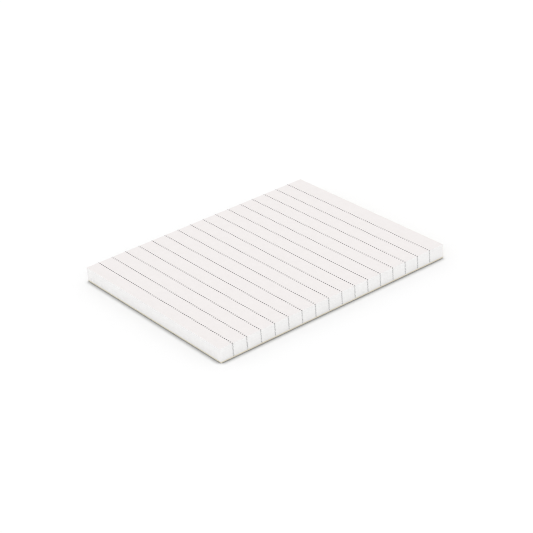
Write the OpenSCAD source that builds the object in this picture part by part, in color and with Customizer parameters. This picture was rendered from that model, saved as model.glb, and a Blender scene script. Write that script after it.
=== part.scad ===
// Memo pad: a block of ruled sheets on a backing board, bound along its head by a film of padding glue.
// Millimetres. The origin is at the middle of the underside, with +Z up, +Y towards the glued head
// and +X along the ruled lines.

/* [Pad] */
// Width of the sheets and the board, along the ruled lines
pad_width = 101.6; // [75:0.1:150]
// Length of the sheets and the board, from the foot to the glued head
pad_length = 127; // [95:0.1:210]

/* [Sheets] */
// Number of sheets in the block
sheet_count = 50; // [25:1:100]
// Thickness of one sheet
sheet_thickness = 0.125; // [0.08:0.005:0.2]

/* [Ruling] */
// Distance from one ruled line to the next
rule_pitch = 7.48; // [5:0.01:10]
// Width of a ruled line
rule_width = 0.66; // [0.3:0.01:1]
// Distance from the foot to the middle of the first line
foot_margin = 6.6; // [4:0.1:15]
// Least distance from the middle of the last line to the head
head_margin = 8; // [4:0.1:20]
// Depth to which the ink of a line goes into the paper
ink_depth = 0.05; // [0.02:0.01:0.1]

/* [Backing board] */
// Thickness of the board
board_thickness = 0.6; // [0.3:0.05:1.5]

/* [Glue binding] */
// Thickness of the glue film on the head
glue_thickness = 0.3; // [0.1:0.05:0.6]

/* [Hidden] */

// How far a cutter runs past the faces that it opens
overrun = 0.5;
$fn = 48;

half_width = pad_width / 2;
block_height = sheet_count * sheet_thickness;
pad_height = board_thickness + block_height;

// The glue stands behind the head, so the sheets lie a little forward of the middle
foot_y = -(pad_length + glue_thickness) / 2;
head_y = foot_y + pad_length;

// As many lines as fit between the foot margin and the head margin
rule_count = 1 + floor((pad_length - foot_margin - head_margin) / rule_pitch);

paper_colour = "#f3efee";
ruling_colour = "#a6a5a6";
board_colour = "#ded6be";
glue_colour = "#e9e6de";

// Outline of a sheet, which the board shares because both are trimmed together
module sheet_outline() {
    translate([-half_width, foot_y])
        square([pad_width, pad_length]);
}

// Section of a ruled line: over the top sheet, and down both long sides where the knife cuts through
// the same line on every sheet. The margin widens the section outwards for a cutter.
module rule_section(margin) {
    outer_x = half_width + margin;
    outer_top = block_height + margin;
    inner_x = half_width - ink_depth;
    inner_top = block_height - ink_depth;
    polygon([
        [-outer_x, -margin], [-outer_x, outer_top], [outer_x, outer_top], [outer_x, -margin],
        [inner_x, -margin], [inner_x, inner_top], [-inner_x, inner_top], [-inner_x, -margin],
    ]);
}

// The ruled lines of the block, spaced from the foot
module ruling(margin = 0) {
    for (line = [0 : rule_count - 1])
        translate([0, foot_y + foot_margin + line * rule_pitch, board_thickness])
            rotate([90, 0, 0])
                linear_extrude(rule_width, center = true)
                    rule_section(margin);
}

// The sheets as one block, with a shallow seat for the ink of each line
module sheet_block() {
    color(paper_colour)
        difference() {
            translate([0, 0, board_thickness])
                linear_extrude(block_height)
                    sheet_outline();
            ruling(overrun);
        }
}

// The inked lines, flush with the paper round them
module ruled_lines() {
    color(ruling_colour)
        ruling();
}

// Stiff board under the sheets, trimmed flush with them
module backing_board() {
    color(board_colour)
        linear_extrude(board_thickness)
            sheet_outline();
}

// Plan of the glue film on the head: flat along the edges of the sheets, and thinning out in a quarter
// round at each end, where the brush runs off
module glue_outline() {
    flat_width = pad_width - 2 * glue_thickness;
    translate([0, head_y])
        intersection() {
            union() {
                translate([-flat_width / 2, 0])
                    square([flat_width, glue_thickness]);
                for (side = [-1, 1])
                    translate([side * flat_width / 2, 0])
                        circle(glue_thickness);
            }
            translate([-half_width, 0])
                square([pad_width, glue_thickness]);
        }
}

// Padding glue over the head edges of the sheets and the board
module glue_binding() {
    color(glue_colour)
        linear_extrude(pad_height)
            glue_outline();
}

sheet_block();
ruled_lines();
backing_board();
glue_binding();
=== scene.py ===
# %% [markdown]
# # A ruled memo pad
#
# The object is a glued memo pad that lies flat on a white table: a block of white sheets ruled with
# dotted lines, a thin cream board under them, and a film of dried glue along the head that holds them
# together. The solid model gives every size and place. Here the pad gets what the eye needs: single
# sheets, single dots of ink, fibres in the board and brush marks in the glue.

# %% Load the fixed frame
import math

import bmesh
import bpy
from mathutils import Matrix, Vector, noise


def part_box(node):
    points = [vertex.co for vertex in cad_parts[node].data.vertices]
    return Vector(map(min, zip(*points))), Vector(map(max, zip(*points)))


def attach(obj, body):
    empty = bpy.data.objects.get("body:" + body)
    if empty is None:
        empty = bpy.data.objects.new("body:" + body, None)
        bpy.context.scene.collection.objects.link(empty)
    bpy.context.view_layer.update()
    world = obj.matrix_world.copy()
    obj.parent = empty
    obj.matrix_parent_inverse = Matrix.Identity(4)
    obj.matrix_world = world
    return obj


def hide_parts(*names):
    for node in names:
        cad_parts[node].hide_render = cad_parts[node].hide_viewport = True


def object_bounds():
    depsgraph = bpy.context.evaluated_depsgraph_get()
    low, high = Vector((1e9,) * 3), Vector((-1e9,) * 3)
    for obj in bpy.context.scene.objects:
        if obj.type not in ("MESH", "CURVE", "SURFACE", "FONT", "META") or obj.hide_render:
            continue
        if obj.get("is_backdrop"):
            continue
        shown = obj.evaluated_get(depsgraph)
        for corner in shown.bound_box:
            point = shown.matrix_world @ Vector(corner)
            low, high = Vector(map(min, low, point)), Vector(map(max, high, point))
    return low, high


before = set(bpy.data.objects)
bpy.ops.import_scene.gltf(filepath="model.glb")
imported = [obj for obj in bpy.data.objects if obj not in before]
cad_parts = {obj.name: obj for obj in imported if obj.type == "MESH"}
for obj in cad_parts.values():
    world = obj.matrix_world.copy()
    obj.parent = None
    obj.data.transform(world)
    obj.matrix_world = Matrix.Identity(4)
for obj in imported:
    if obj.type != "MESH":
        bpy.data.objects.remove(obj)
cad_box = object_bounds()
print("Solid pieces:", sorted(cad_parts))

# %% [markdown]
# ## Sizes
#
# A size that the solids already hold is read from them and never typed again, so the scene follows when
# the solids change. Only the number of sheets is typed, because they are one solid block: its height,
# shared out among them, gives the pitch of the stack. The ruled lines are one piece made of many strips,
# and each strip has a near and a far wall, so the sorted wall places come in pairs: a pair's difference
# is the line's width, and its mean the line's place.

# %% Sizes read from the solids
MM = 0.001
MICROMETRE_DIGITS = 6

sheets_low, sheets_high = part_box("sheet_block")
board_low, board_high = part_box("backing_board")
glue_low, glue_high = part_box("glue_binding")

pad_width = sheets_high.x - sheets_low.x
pad_length = sheets_high.y - sheets_low.y
pad_middle_y = (sheets_high.y + sheets_low.y) / 2

sheet_count = 50
sheet_pitch = (sheets_high.z - sheets_low.z) / sheet_count

rule_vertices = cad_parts["ruled_lines"].data.vertices
rule_walls = sorted({round(vertex.co.y, MICROMETRE_DIGITS) for vertex in rule_vertices})
rule_places = [(near + far) / 2 for near, far in zip(rule_walls[0::2], rule_walls[1::2])]
rule_width = rule_walls[1] - rule_walls[0]
rule_count = len(rule_places)
rule_pitch = (rule_places[-1] - rule_places[0]) / (rule_count - 1)
print(f"{sheet_count} sheets, {rule_count} ruled lines {rule_pitch / MM:.2f} mm apart")

# %% [markdown]
# ## Writing nodes as expressions
#
# Finishes and repeated shapes are both node trees. Placing nodes one by one hides the idea, so a `Field`
# wraps a socket and turns `1 - mask` into a Math node, and a `NodeSketch` adds any other node in one
# call: its type, its settings, then the values or links of its sockets. The same two classes serve
# shaders and geometry.

# %% Fields and sketches
class Field:
    """A value that changes from place to place: an output socket that can be used in expressions."""

    def __init__(self, sketch, socket):
        self.sketch = sketch
        self.socket = socket

    def __add__(self, other):
        return self.sketch.math("ADD", self, other)

    def __radd__(self, other):
        return self.sketch.math("ADD", other, self)

    def __sub__(self, other):
        return self.sketch.math("SUBTRACT", self, other)

    def __rsub__(self, other):
        return self.sketch.math("SUBTRACT", other, self)

    def __mul__(self, other):
        return self.sketch.math("MULTIPLY", self, other)

    def __rmul__(self, other):
        return self.sketch.math("MULTIPLY", other, self)

    def __truediv__(self, other):
        return self.sketch.math("DIVIDE", self, other)

    def __rtruediv__(self, other):
        return self.sketch.math("DIVIDE", other, self)

    def __pow__(self, other):
        return self.sketch.math("POWER", self, other)

    def __rpow__(self, other):
        return self.sketch.math("POWER", other, self)

    def __mod__(self, other):
        return self.sketch.math("MODULO", self, other)

    def __rmod__(self, other):
        return self.sketch.math("MODULO", other, self)

    def __floordiv__(self, other):
        return self.sketch.math("FLOOR", self / other)

    def __rfloordiv__(self, other):
        return self.sketch.math("FLOOR", other / self)

    def __abs__(self):
        return self.sketch.math("ABSOLUTE", self)

    def __lt__(self, other):
        return self.sketch.math("LESS_THAN", self, other)

    def __gt__(self, other):
        return self.sketch.math("GREATER_THAN", self, other)

    def limited(self, low, high):
        return self.sketch.math("MINIMUM", self.sketch.math("MAXIMUM", self, low), high)


class NodeSketch:
    """A node tree written as code."""

    def __init__(self, tree):
        self.tree = tree

    def feed(self, socket, value):
        if isinstance(value, Field):
            self.tree.links.new(value.socket, socket)
        else:
            socket.default_value = value

    def node(self, kind, settings=None, inputs=None, output=0):
        made = self.tree.nodes.new(kind)
        for name, value in (settings or {}).items():
            setattr(made, name, value)
        for name, value in (inputs or {}).items():
            self.feed(made.inputs[name], value)
        return Field(self, made.outputs[output])

    def math(self, operation, *values):
        return self.node("ShaderNodeMath", {"operation": operation}, dict(enumerate(values)))

    def vector(self, x=0.0, y=0.0, z=0.0):
        return self.node("ShaderNodeCombineXYZ", None, {"X": x, "Y": y, "Z": z})

    def parts(self, vector):
        return [self.node("ShaderNodeSeparateXYZ", None, {0: vector}, axis) for axis in "XYZ"]


print("Fields and sketches are ready")

# %% [markdown]
# ## Finishes
#
# Every finish is a Principled surface with procedural nodes behind it. They read Object coordinates,
# which are metres in the pad's own frame, so a pattern's size can be stated as a real length: a noise
# that should repeat about every 3 mm gets a scale of 1 / 3 mm.

# %% A finish
UPRIGHT_LIMIT = 0.5


def from_screen(red, green, blue):
    """A colour as a screen shows it, 0 to 255, turned by the standard curve into linear light."""
    shares = [channel / 255 for channel in (red, green, blue)]
    curve = [s / 12.92 if s <= 0.04045 else ((s + 0.055) / 1.055) ** 2.4 for s in shares]
    return (*curve, 1.0)


class Finish(NodeSketch):
    """One material: a Principled surface and the nodes that vary it."""

    def __init__(self, name, **constants):
        self.material = bpy.data.materials.new(name)
        self.material.use_nodes = True
        super().__init__(self.material.node_tree)
        self.surface = self.tree.nodes["Principled BSDF"]
        self.place = self.node("ShaderNodeTexCoord", output="Object")
        for socket, value in constants.items():
            self.set(socket.replace("_", " "), value)

    def set(self, socket, value):
        self.feed(self.surface.inputs[socket], value)

    def noise(self, size, detail=2.0, stretch=(1.0, 1.0, 1.0)):
        """Soft noise from 0 to 1 with features about this large, drawn out along an axis by its stretch."""
        scale = [1 / (size * length) for length in stretch]
        place = self.node("ShaderNodeMapping", None, {"Vector": self.place, "Scale": scale})
        return self.node("ShaderNodeTexNoise", None, {"Vector": place, "Scale": 1.0, "Detail": detail})

    def blend(self, share, first, second):
        return self.node("ShaderNodeMix", {"data_type": "RGBA"}, {0: share, 6: first, 7: second}, 2)

    def ramp(self, value, low, high):
        """0 where the value is under low, 1 where it is over high, and a straight rise between."""
        inputs = {"Value": value, "From Min": low, "From Max": high}
        return self.node("ShaderNodeMapRange", {"clamp": True}, inputs)

    def trimmed_edge(self):
        """1 on the upright faces that the knife leaves, 0 on the flat faces."""
        normal = self.node("ShaderNodeNewGeometry", output="Normal")
        return abs(self.parts(normal)[2]) < UPRIGHT_LIMIT

    def relief(self, height, depth, strength=1.0):
        inputs = {"Height": height, "Distance": depth, "Strength": strength}
        self.set("Normal", self.node("ShaderNodeBump", None, inputs))


print("Finish class is ready")

# %% [markdown]
# ### Paper
#
# Uncoated writing paper is never one flat white. Held near, it shows clouds of denser and thinner fibre a
# few millimetres across, and a fine tooth that takes the pencil. Both are very faint. Each sheet also
# differs by a trace from the next, which shows where their edges lie side by side, so the stack carries a
# tint of its own for each sheet as an attribute. The cut edges are a trace more neutral than the face,
# and the knife leaves faint upright scores on them.

# %% Paper finish
NOISE_MEAN = 0.5

cloud_size = 3.5 * MM
cloud_weight = 0.9
tooth_size = 0.22 * MM
tooth_weight = 0.5
tooth_depth = 0.02 * MM
tooth_strength = 0.35
score_width = 0.35 * MM
score_stretch = (1.0, 1.0, 60.0)
score_relief = 2.0
face_dark = from_screen(230, 225.5, 224.5)
face_light = from_screen(237, 233, 232)
edge_dark = from_screen(231, 230, 229.5)
edge_light = from_screen(237, 236.5, 236)

paper = Finish("writing_paper", Roughness=0.9, Specular_IOR_Level=0.25)
clouds = paper.noise(cloud_size, detail=3.0)
tooth = paper.noise(tooth_size)
scores = paper.noise(score_width, stretch=score_stretch)
sheet_tint = paper.node("ShaderNodeAttribute", {"attribute_name": "sheet_tint"}, output="Fac")
on_edge = paper.trimmed_edge()
paper_tone = (
    NOISE_MEAN + cloud_weight * (clouds - NOISE_MEAN) + tooth_weight * (tooth - NOISE_MEAN)
    + sheet_tint + on_edge * (scores - NOISE_MEAN))
paper_share = paper_tone.limited(0.0, 1.0)
face_colour = paper.blend(paper_share, face_dark, face_light)
edge_colour = paper.blend(paper_share, edge_dark, edge_light)
paper.set("Base Color", paper.blend(on_edge, face_colour, edge_colour))
paper.relief(tooth + on_edge * (score_relief * scores), depth=tooth_depth, strength=tooth_strength)
print("Paper:", paper.material.name)

# %% [markdown]
# ### Ink
#
# The ruling is dark grey ink, matt because the paper drinks it. A printed dot is a little patchy where
# the paper's tooth leaves it thin, so the tone moves a little with a noise finer than the dot.

# %% Ink finish
patch_size = 0.15 * MM
ink_dark = from_screen(52, 51, 53)
ink_light = from_screen(84, 83, 85)

ink = Finish("ruling_ink", Roughness=0.8, Specular_IOR_Level=0.2)
patchy = ink.noise(patch_size)
ink.set("Base Color", ink.blend(patchy, ink_dark, ink_light))
print("Ink:", ink.material.name)

# %% [markdown]
# ### Pulpboard
#
# The backing is a stiff board pressed from pulp: a cream felt of fibres, with paler and darker hairs
# lying every way and a few darker specks. Hairs are noise drawn out along one axis and cut off near its
# peak; two directions crossing are enough to look like a felt. The cut edge shows the plies instead, as
# long streaks.

# %% Pulpboard finish
felt_size = 4.0 * MM
felt_dark = from_screen(220, 212, 191)
felt_light = from_screen(244, 238, 221)
hair_width = 0.22 * MM
hair_stretch = 9.0
hair_share = 0.5
hair_relief = 0.5
pale_hair_colour = from_screen(247, 243, 231)
pale_hair_peaks = (0.58, 0.7)
dark_hair_colour = from_screen(188, 177, 154)
dark_hair_peaks = (0.6, 0.72)
speck_size = 0.8 * MM
speck_share = 0.7
speck_colour = from_screen(153, 144, 128)
speck_peaks = (0.68, 0.74)
ply_thickness = 0.09 * MM
ply_stretch = 40.0
ply_share = 0.4
ply_colour = from_screen(207, 198, 176)
felt_depth = 0.05 * MM
felt_strength = 0.5

pulpboard = Finish("pulpboard", Roughness=0.92, Specular_IOR_Level=0.2)
felt = pulpboard.noise(felt_size, detail=4.0)
hairs_across = pulpboard.noise(hair_width, detail=1.0, stretch=(hair_stretch, 1.0, 1.0))
hairs_along = pulpboard.noise(hair_width, detail=1.0, stretch=(1.0, hair_stretch, 1.0))
pale_hairs = pulpboard.ramp(hairs_across, *pale_hair_peaks)
dark_hairs = pulpboard.ramp(hairs_along, *dark_hair_peaks)
specks = pulpboard.ramp(pulpboard.noise(speck_size, detail=3.0), *speck_peaks)
plies = pulpboard.noise(ply_thickness, stretch=(ply_stretch, ply_stretch, 1.0))
cut = pulpboard.trimmed_edge()
board_tone = pulpboard.blend(felt, felt_dark, felt_light)
board_tone = pulpboard.blend(hair_share * pale_hairs * (1 - cut), board_tone, pale_hair_colour)
board_tone = pulpboard.blend(hair_share * dark_hairs * (1 - cut), board_tone, dark_hair_colour)
board_tone = pulpboard.blend(speck_share * specks * (1 - cut), board_tone, speck_colour)
board_tone = pulpboard.blend(ply_share * plies * cut, board_tone, ply_colour)
pulpboard.set("Base Color", board_tone)
board_relief = hair_relief * hairs_across + hair_relief * hairs_along + cut * plies
pulpboard.relief(board_relief, depth=felt_depth, strength=felt_strength)
print("Pulpboard:", pulpboard.material.name)

# %% [markdown]
# ### Padding glue
#
# The glue is brushed on white and dries to a flexible, half-clear skin. It keeps a soft shine, broken by
# the brush: long streaks across the head where the skin is thicker and yellower or thinner and paler. The
# skin is clear enough for the board's tone to show through along the bottom.

# %% Glue finish
stroke_width = 0.5 * MM
stroke_stretch = (40.0, 1.0, 1.0)
stroke_weight = 0.6
stroke_depth = 0.04 * MM
stroke_strength = 0.5
pool_size = 5.0 * MM
pool_weight = 0.4
glue_contrast = 1.8
glue_thick = from_screen(220, 215, 201)
glue_thin = from_screen(236, 233, 225)
board_through_share = 0.55
board_rim_wander = 0.3 * MM
board_rim_blur = 0.1 * MM
least_roughness = 0.34
stroke_roughness = 0.3
coat_share = 0.25

glue = Finish("padding_glue", Coat_Roughness=0.25)
strokes = glue.noise(stroke_width, detail=3.0, stretch=stroke_stretch)
pools = glue.noise(pool_size)
glue_tone = (stroke_weight * strokes + pool_weight * pools - NOISE_MEAN) * glue_contrast + NOISE_MEAN
glue_colour = glue.blend(glue_tone.limited(0.0, 1.0), glue_thick, glue_thin)
glue_height = glue.parts(glue.place)[2] + board_rim_wander * (strokes - NOISE_MEAN)
over_sheets = glue.ramp(glue_height, board_high.z - board_rim_blur, board_high.z + board_rim_blur)
board_through = board_through_share * (1 - over_sheets)
glue.set("Base Color", glue.blend(board_through, glue_colour, felt_dark))
glue.set("Roughness", least_roughness + stroke_roughness * strokes)
glue.set("Coat Weight", coat_share * pools)
glue.relief(strokes, depth=stroke_depth, strength=stroke_strength)
print("Glue:", glue.material.name)

# %% [markdown]
# ## Repeated shapes
#
# Sheets, dots and ink ticks are each one small shape many times over, so a Geometry Nodes tree makes each
# kind from a few named sizes. The tree is run once and its result kept as a plain mesh, because a
# finished piece should hold real faces and no live modifier.

# %% Geometry trees
class GeometryTree(NodeSketch):
    """A Geometry Nodes tree with named inputs."""

    def __init__(self, name, **inputs):
        super().__init__(bpy.data.node_groups.new(name, "GeometryNodeTree"))
        self.tree.interface.new_socket("Geometry", in_out="OUTPUT", socket_type="NodeSocketGeometry")
        for title, kind in inputs.items():
            self.tree.interface.new_socket(title, in_out="INPUT", socket_type="NodeSocket" + kind)
        self.entry = self.tree.nodes.new("NodeGroupInput")
        self.exit = self.tree.nodes.new("NodeGroupOutput")
        self.index = self.node("GeometryNodeInputIndex")

    def __getitem__(self, title):
        return Field(self, self.entry.outputs[title])

    def random(self, low, high, number=None, seed=0):
        """A random value for each numbered thing; the same number and seed always give the same value."""
        inputs = {2: low, 3: high, "Seed": seed, "ID": self.index if number is None else number}
        return self.node("FunctionNodeRandomValue", {"data_type": "FLOAT"}, inputs, 1)

    def scattered(self, points, shape, scale=(1.0, 1.0, 1.0)):
        """A copy of the shape at each point."""
        inputs = {"Points": points, "Instance": shape, "Scale": scale}
        return self.node("GeometryNodeInstanceOnPoints", None, inputs)

    def finish(self, geometry, material):
        painted = self.node("GeometryNodeSetMaterial", None, {"Geometry": geometry, "Material": material})
        self.feed(self.exit.inputs["Geometry"], painted)

    def run(self, name, **values):
        """Runs the tree with these inputs, and keeps the result as a plain mesh object."""
        piece = bpy.data.objects.new(name, bpy.data.meshes.new(name))
        bpy.context.scene.collection.objects.link(piece)
        modifier = piece.modifiers.new(name, "NODES")
        modifier.node_group = self.tree
        for item in self.tree.interface.items_tree:
            if item.in_out == "INPUT":
                modifier[item.identifier] = values[item.name]
        depsgraph = bpy.context.evaluated_depsgraph_get()
        made = bpy.data.meshes.new_from_object(
            piece.evaluated_get(depsgraph), preserve_all_data_layers=True, depsgraph=depsgraph)
        piece.modifiers.remove(modifier)
        piece.data = made
        made.name = name
        print(f"{name}: {len(made.polygons)} faces")
        return piece


SLIP_SEED = 11


def sheet_slip(tree, sheet, slip):
    """How far a numbered sheet has slipped out of line, along X and Y."""
    return [tree.random(slip * -1, slip, number=sheet, seed=SLIP_SEED + axis) for axis in range(2)]


print("Geometry trees are ready")

# %% [markdown]
# ### The sheets
#
# The block could stay one box with stripes painted on its sides, but its edges are where a pad looks
# real: light catches single sheets, and fine dark gaps lie between them. So each sheet is a thin closed
# slab, a little thinner than its share of the block, slipped out of line by about a hundredth of a
# millimetre. The top sheet is made by the same tree as a piece of its own, since it is the one that shows
# in full.

# %% Stack of sheets
TINT_SEED = 5
tint_range = 0.3

stack = GeometryTree(
    "stacked_sheets", Width="Float", Length="Float", Middle="Float", Underside="Float", Pitch="Float",
    Thickness="Float", First="Int", Count="Int", Slip="Float", Paper="Material")
sheet_number = stack.index + stack["First"]
sheet_heights = stack["Underside"] + stack["Pitch"] * (sheet_number + 0.5)
slip_x, slip_y = sheet_slip(stack, sheet_number, stack["Slip"])
sheet_points = stack.node("GeometryNodePoints", None, {
    "Count": stack["Count"],
    "Position": stack.vector(slip_x, stack["Middle"] + slip_y, sheet_heights)})
sheet_size = stack.vector(stack["Width"], stack["Length"], stack["Thickness"])
one_sheet = stack.node("GeometryNodeMeshCube", None, {"Size": sheet_size})
sheets = stack.scattered(sheet_points, one_sheet)
tint = stack.random(-tint_range, tint_range, number=sheet_number, seed=TINT_SEED)
sheets = stack.node(
    "GeometryNodeStoreNamedAttribute", {"data_type": "FLOAT", "domain": "INSTANCE"},
    {"Geometry": sheets, "Name": "sheet_tint", "Value": tint})
sheets = stack.node("GeometryNodeRealizeInstances", None, {"Geometry": sheets})
stack.finish(sheets, stack["Paper"])

sheet_fill = 0.98
sheet_thickness = sheet_fill * sheet_pitch
sheet_play = 0.012 * MM
sheet_sizes = dict(
    Width=pad_width - 2 * sheet_play, Length=pad_length - 2 * sheet_play, Middle=pad_middle_y,
    Underside=sheets_low.z, Pitch=sheet_pitch, Thickness=sheet_thickness, Slip=sheet_play,
    Paper=paper.material)
sheet_stack = stack.run("sheet_stack", First=0, Count=sheet_count - 1, **sheet_sizes)
top_sheet = stack.run("top_sheet", First=sheet_count - 1, Count=1, **sheet_sizes)

# %% [markdown]
# ### The dots
#
# Each ruled line is a row of round dots that runs off both long edges, so the knife has cut the outermost
# dot of a row in half. A row of whole dots is scattered on a grid, and then every corner that stands out
# past the edge is drawn back to it: that leaves clean half dots. Sizes differ by up to a twentieth, as
# printed dots do.

# %% Dotted lines
GAIN_SEED = 2
dot_corners = 12
dot_gain_range = (0.95, 1.05)

dots = GeometryTree(
    "dotted_lines", Width="Float", First_Line="Float", Line_Pitch="Float", Lines="Int", Dots="Int",
    Dot_Width="Float", Top="Float", Film="Float", Ink="Material")
line_span = dots["Line_Pitch"] * (dots["Lines"] - 1)
dot_grid = dots.node("GeometryNodeMeshGrid", None, {
    "Size X": dots["Width"], "Size Y": line_span, "Vertices X": dots["Dots"], "Vertices Y": dots["Lines"]})
dot_grid = dots.node("GeometryNodeSetPosition", None, {
    "Geometry": dot_grid, "Offset": dots.vector(0.0, dots["First_Line"] + line_span / 2, dots["Top"])})
one_dot = dots.node("GeometryNodeMeshCylinder", {"fill_type": "NGON"}, {
    "Vertices": dot_corners, "Radius": dots["Dot_Width"] / 2, "Depth": dots["Film"] * 2})
dot_gain = dots.random(*dot_gain_range, seed=GAIN_SEED)
printed = dots.scattered(dot_grid, one_dot, dots.vector(dot_gain, dot_gain, 1.0))
printed = dots.node("GeometryNodeRealizeInstances", None, {"Geometry": printed})
dot_x, dot_y, dot_z = dots.parts(dots.node("GeometryNodeInputPosition"))
dot_x = dot_x.limited(dots["Width"] / -2, dots["Width"] / 2)
printed = dots.node(
    "GeometryNodeSetPosition", None, {"Geometry": printed, "Position": dots.vector(dot_x, dot_y, dot_z)})
dots.finish(printed, dots["Ink"])

dot_gaps = 75
ink_film = 0.004 * MM
sheet_top = sheets_high.z - (sheet_pitch - sheet_thickness) / 2
dotted_lines = dots.run(
    "dotted_lines", Width=sheet_sizes["Width"], First_Line=rule_places[0], Line_Pitch=rule_pitch,
    Lines=rule_count, Dots=dot_gaps + 1, Dot_Width=rule_width, Top=sheet_top, Film=ink_film, Ink=ink.material)

# %% [markdown]
# ### Ink on the edges
#
# The knife that cuts a dot in half also shows its ink edge on, as a fine tick at the top of each sheet's
# edge. One tick can't be seen from a step away, but below each other they draw a pale line down both long
# sides. Every tick has a number; dividing it tells the line, the sheet and the side it belongs to, and
# the sheet's number gives the same slip as before, so a tick always lies on its own sheet.

# %% Edge ticks
DRIFT_SEED = 3
CHORD_SEED = 4
drift_range = 0.06 * MM
chord_range = (0.75, 1.0)

ticks = GeometryTree(
    "edge_ticks", Width="Float", First_Line="Float", Line_Pitch="Float", Lines="Int", Sheets="Int",
    Underside="Float", Pitch="Float", Thickness="Float", Slip="Float", Tick_Width="Float",
    Tick_Height="Float", Film="Float", Ink="Material")
tick_line = ticks.index % ticks["Lines"]
tick_sheet = ticks.index // ticks["Lines"] % ticks["Sheets"]
tick_side = ticks.index // (ticks["Lines"] * ticks["Sheets"]) * 2 - 1
tick_slip_x, tick_slip_y = sheet_slip(ticks, tick_sheet, ticks["Slip"])
print_drift = ticks.random(-drift_range, drift_range, number=tick_sheet, seed=DRIFT_SEED)
tick_x = tick_side * ticks["Width"] / 2 + tick_slip_x
tick_y = ticks["First_Line"] + tick_line * ticks["Line_Pitch"] + tick_slip_y + print_drift
sheet_middle = ticks["Underside"] + ticks["Pitch"] * (tick_sheet + 0.5)
tick_z = sheet_middle + (ticks["Thickness"] - ticks["Tick_Height"]) / 2
tick_points = ticks.node("GeometryNodePoints", None, {
    "Count": ticks["Lines"] * ticks["Sheets"] * 2, "Position": ticks.vector(tick_x, tick_y, tick_z)})
tick_size = ticks.vector(ticks["Film"] * 2, ticks["Tick_Width"], ticks["Tick_Height"])
one_tick = ticks.node("GeometryNodeMeshCube", None, {"Size": tick_size})
tick_chord = ticks.random(*chord_range, seed=CHORD_SEED)
inked = ticks.scattered(tick_points, one_tick, ticks.vector(1.0, tick_chord, 1.0))
inked = ticks.node("GeometryNodeRealizeInstances", None, {"Geometry": inked})
ticks.finish(inked, ticks["Ink"])

tick_height = 0.039 * MM
edge_ticks = ticks.run(
    "edge_ticks", Width=sheet_sizes["Width"], First_Line=rule_places[0], Line_Pitch=rule_pitch,
    Lines=rule_count, Sheets=sheet_count, Underside=sheets_low.z, Pitch=sheet_pitch,
    Thickness=sheet_thickness, Slip=sheet_play, Tick_Width=rule_width, Tick_Height=tick_height,
    Film=ink_film, Ink=ink.material)

# %% [markdown]
# ## The backing board
#
# The board is trimmed with the sheets in one cut. The knife leaves its upper rim a little crushed and its
# lower rim sharp to the touch but never as sharp as a drawn line, so a slab the size of the solid gets a
# narrow bevel all round, which also parts it from the sheets by a hairline.

# %% Backing board
BEVEL_SEGMENTS = 2
BEVEL_PROFILE = 0.5


def slab(name, low, high, bevel, material):
    """A closed slab between two corners with a narrow bevel round every edge."""
    mesh = bpy.data.meshes.new(name)
    shape = bmesh.new()
    size = Matrix.Diagonal((*(high - low), 1.0))
    bmesh.ops.create_cube(shape, size=1.0, matrix=Matrix.Translation((low + high) / 2) @ size)
    bmesh.ops.bevel(
        shape, geom=shape.edges[:], offset=bevel, segments=BEVEL_SEGMENTS, profile=BEVEL_PROFILE,
        affect="EDGES", clamp_overlap=True)
    shape.to_mesh(mesh)
    shape.free()
    mesh.materials.append(material)
    piece = bpy.data.objects.new(name, mesh)
    bpy.context.scene.collection.objects.link(piece)
    print(f"{name}: {len(mesh.polygons)} faces")
    return piece


board_bevel = 0.06 * MM
board = slab("board", board_low, board_high, board_bevel, pulpboard.material)

# %% [markdown]
# ## The glue film
#
# The film is thickest along the middle of the head and thins out towards the top and bottom rims and
# round both ends. A brush drawn along the head leaves ridges that wander slowly. It is a skin of two
# walls: the inner one lies flat against the sheets, the outer one stands off by the film's thickness at
# each place.

# %% Glue film
rim_least_share = 0.35
rim_width = 0.8 * MM
ridge_length = 25 * MM
ridge_height = 0.7 * MM
ridge_share = 0.18
film_pool_length = 9 * MM
film_pool_height = 3 * MM
film_pool_share = 0.16
film_pool_slice = 5.0
film_mean_share = 0.78
weld_distance = 0.0005 * MM


def film_thickness(x, z):
    """Thickness of the glue at a place on the head, from the middle (x) and from the underside (z)."""
    full = glue_high.y - glue_low.y
    end = glue_high.x - abs(x)
    rim = min(z - glue_low.z, glue_high.z - z)
    round_end = math.sqrt(max(0.0, 1 - max(0.0, 1 - end / full) ** 2))
    rim_rise = math.sqrt(max(0.0, rim) / rim_width)
    round_rim = min(1.0, rim_least_share + (1 - rim_least_share) * rim_rise)
    ridges = noise.noise(Vector((x / ridge_length, 0.0, z / ridge_height)))
    pooled = noise.noise(Vector((x / film_pool_length, film_pool_slice, z / film_pool_height)))
    brushed = min(1.0, film_mean_share + ridge_share * ridges + film_pool_share * pooled)
    return full * round_end * round_rim * brushed


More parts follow.
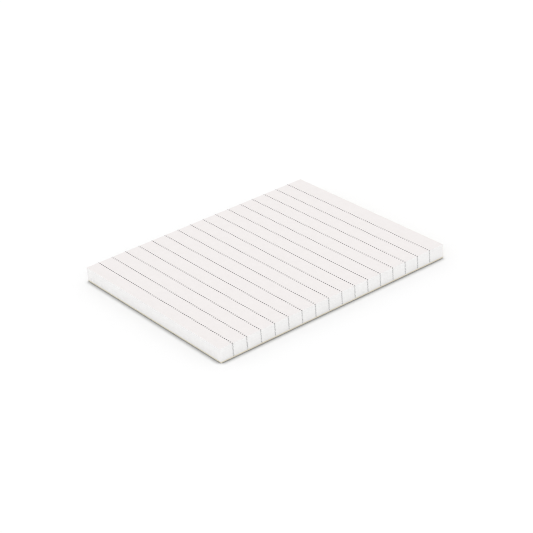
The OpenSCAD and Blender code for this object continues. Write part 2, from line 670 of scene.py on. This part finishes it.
def glue_skin(name, columns, rows, material):
    """The film as a closed skin: a flat inner wall and a brushed outer wall."""
    shape = bmesh.new()
    width = glue_high.x - glue_low.x
    height = glue_high.z - glue_low.z
    walls = []
    for outer in (False, True):
        wall = []
        for row in range(rows + 1):
            z = glue_low.z + height * row / rows
            line = []
            for column in range(columns + 1):
                x = -width / 2 * math.cos(math.pi * column / columns)
                y = glue_low.y + (film_thickness(x, z) if outer else 0.0)
                line.append(shape.verts.new((x, y, z)))
            wall.append(line)
        walls.append(wall)
    inner, outer = walls
    for row in range(rows):
        for column in range(columns):
            corners = [(row, column), (row, column + 1), (row + 1, column + 1), (row + 1, column)]
            shape.faces.new([inner[r][c] for r, c in corners])
            shape.faces.new([outer[r][c] for r, c in reversed(corners)])
    rim = [(0, c) for c in range(columns)] + [(r, columns) for r in range(rows)]
    rim += [(rows, c) for c in range(columns, 0, -1)] + [(r, 0) for r in range(rows, 0, -1)]
    for (r0, c0), (r1, c1) in zip(rim, rim[1:] + rim[:1]):
        shape.faces.new([inner[r1][c1], inner[r0][c0], outer[r0][c0], outer[r1][c1]])
    bmesh.ops.remove_doubles(shape, verts=shape.verts[:], dist=weld_distance)
    bmesh.ops.recalc_face_normals(shape, faces=shape.faces[:])
    mesh = bpy.data.meshes.new(name)
    shape.to_mesh(mesh)
    shape.free()
    mesh.materials.append(material)
    for face in mesh.polygons:
        face.use_smooth = True
    piece = bpy.data.objects.new(name, mesh)
    bpy.context.scene.collection.objects.link(piece)
    print(f"{name}: {len(mesh.polygons)} faces")
    return piece


glue_film = glue_skin("glue_film", columns=160, rows=28, material=glue.material)

# %% [markdown]
# ## Tying the pieces to the solids
#
# Nothing on a pad moves by itself, so every piece rides on the one body. Each piece says which solid it
# stands for, which hides that solid here.

# %% Pieces and solids
for piece, node, slot in (
        (sheet_stack, "sheet_block", "paper"),
        (top_sheet, "sheet_block", "paper"),
        (dotted_lines, "ruled_lines", "ruling_ink"),
        (edge_ticks, "ruled_lines", "ruling_ink"),
        (board, "backing_board", "pulpboard"),
        (glue_film, "glue_binding", "padding_glue")):
    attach(piece, "root")
    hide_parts(node)
    print(f"{piece.name} stands for {node}")

# %% [markdown]
# ## Table
#
# The pad lies on a plain white table, so bright that it has no tone of its own. All that shows on it is a
# painted contact shadow, a soft dark line where the pad touches it. Light from all round would fill that
# corner, so the shadow is painted into the table's white: an occlusion value tells how much of the space
# close above is taken up by the pad, and that share, raised to a power, takes tone away. It looks up at a
# lean, towards the pad's far left corner, as if a little more light came from there, so the painted
# shadow is darkest along the two near sides. It fades round a corner by itself, because a corner takes up
# less space than a straight side. The table is one face, laid off centre so that the diagonal it is split
# along passes far from the pad.

# %% Table
def table_top(left, right, front, back, material):
    """A wide flat floor at the height that the pad rests on."""
    mesh = bpy.data.meshes.new("table")
    corners = [(left, front, 0.0), (right, front, 0.0), (right, back, 0.0), (left, back, 0.0)]
    mesh.from_pydata(corners, [], [(0, 1, 2, 3)])
    mesh.materials.append(material)
    table = bpy.data.objects.new("table", mesh)
    bpy.context.scene.collection.objects.link(table)
    return table


table_tone = 0.94
contact_lean = Vector((-0.33, 0.29, 0.9))
contact_reach = 3.0 * MM
contact_share = 0.61
contact_shadow_depth = 0.8
contact_falloff = 2.0
contact_samples = 32

table_white = Finish("table_white", Roughness=0.9, Specular_IOR_Level=0.0)
openness = table_white.node(
    "ShaderNodeAmbientOcclusion", {"samples": contact_samples},
    {"Distance": contact_reach, "Normal": table_white.vector(*contact_lean)}, "AO")
covered = ((1 - openness) / contact_share).limited(0.0, 1.0)
# Painted shadow: the table's white is darkened where the pad takes up the space close above it.
table_white.set("Base Color", table_tone * (1 - contact_shadow_depth * covered ** contact_falloff))
table = table_top(left=-8.0, right=5.0, front=-6.0, back=7.0, material=table_white.material)
table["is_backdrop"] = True
print("Table:", table.name)

# %% [markdown]
# ## Light
#
# The light is a white tent without any lamp, so no side of the pad is dark. It is brighter at the horizon
# than overhead, because the upright sides face the horizon and should come out as bright as the top. The
# dots are hardly wider than a pixel, so the pixel filter is narrow and the denoiser takes its guides
# unfiltered; otherwise each row would be smeared into a plain grey line.

# %% Light
zenith_strength = 0.905
horizon_strength = 1.45
pixel_filter_width = 1.25

sky = bpy.data.worlds.new("light_tent")
sky.use_nodes = True
tent = NodeSketch(sky.node_tree)
height = tent.parts(tent.node("ShaderNodeTexCoord", output="Generated"))[2].limited(0.0, 1.0)
tent.feed(sky.node_tree.nodes["Background"].inputs["Color"], (1.0, 1.0, 1.0, 1.0))
tent.feed(
    sky.node_tree.nodes["Background"].inputs["Strength"],
    horizon_strength + (zenith_strength - horizon_strength) * height)
bpy.context.scene.world = sky
bpy.context.scene.view_settings.view_transform = "Standard"
bpy.context.scene.cycles.filter_width = pixel_filter_width
bpy.context.scene.cycles.denoising_prefilter = "NONE"
print(f"Light tent: {zenith_strength} overhead, {horizon_strength} at the horizon")

# %% [markdown]
# ## Camera
#
# The camera looks down at the pad over the right corner of its foot through a long lens, held a little
# out of level. It is placed by what a photographer would set: the point aimed at, the direction and
# height it is seen from, the distance, and the roll.

# %% Camera
camera_aim = Vector((-1.541 * MM, 2.015 * MM, 0.0))
camera_azimuth = math.radians(53.828)
camera_elevation = math.radians(28.215)
camera_roll = math.radians(-4.892)
camera_distance = 726.3 * MM
camera_lens_mm = 106.91
camera_sensor_mm = 36.0

level = Vector((math.cos(camera_azimuth), math.sin(camera_azimuth), 0.0))
back = Vector((
    math.sin(camera_azimuth) * math.cos(camera_elevation),
    -math.cos(camera_azimuth) * math.cos(camera_elevation),
    math.sin(camera_elevation)))
upright = back.cross(level)
right = level * math.cos(camera_roll) + upright * math.sin(camera_roll)
up = back.cross(right)

camera_data = bpy.data.cameras.new("camera")
camera_data.lens = camera_lens_mm
camera_data.sensor_width = camera_sensor_mm
camera = bpy.data.objects.new("camera", camera_data)
bpy.context.scene.collection.objects.link(camera)
turn = Matrix((right, up, back)).transposed().to_4x4()
camera.matrix_world = Matrix.Translation(camera_aim + back * camera_distance) @ turn
bpy.context.scene.camera = camera
print("Camera at", [round(value, 4) for value in camera.matrix_world.translation])

# %% Finish
boxes = {"cad": cad_box, "visual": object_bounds()}
dressed_size = [round((high - low) / MM, 3) for low, high in zip(*boxes["visual"])]
print("Dressed size in mm:", dressed_size)
